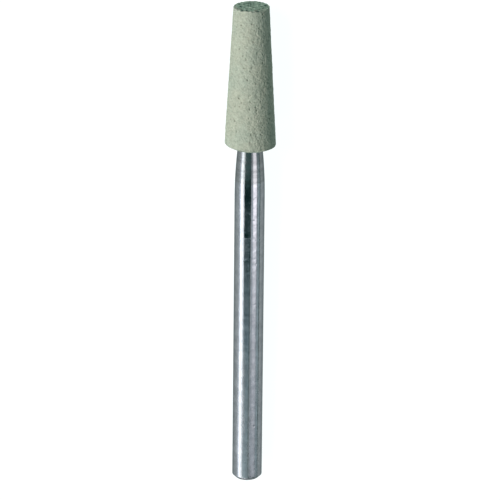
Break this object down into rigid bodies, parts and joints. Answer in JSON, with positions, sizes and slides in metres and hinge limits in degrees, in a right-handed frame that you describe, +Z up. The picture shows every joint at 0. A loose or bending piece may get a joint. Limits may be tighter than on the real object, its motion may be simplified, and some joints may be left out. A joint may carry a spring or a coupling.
{
  "type": "dental polisher",
  "caption": "Rotary dental polisher: a tapered, flat-ended abrasive head moulded on a plain straight steel shank that a straight handpiece's chuck grips.",
  "frame": {"origin": "on the bench under the middle of the polisher as it lies on its side", "axes": "+Y from the shank's end to the tip of the head, along the bench; +Z up from the bench; the polisher's own axis climbs 1.68 degrees towards the tip, because it rests on the wide rim of the head and on the shank's end"},
  "size_m": [0.004, 0.0394, 0.004],
  "materials": {
    "steel": "turned and ground stainless steel, satin bright",
    "abrasive": "bonded abrasive, moulded and dressed, matt sage green with dark and pale grains"
  },
  "bodies": {
    "root": {"mandrel": "steel", "polishing_head": "abrasive"}
  },
  "joints": []
}
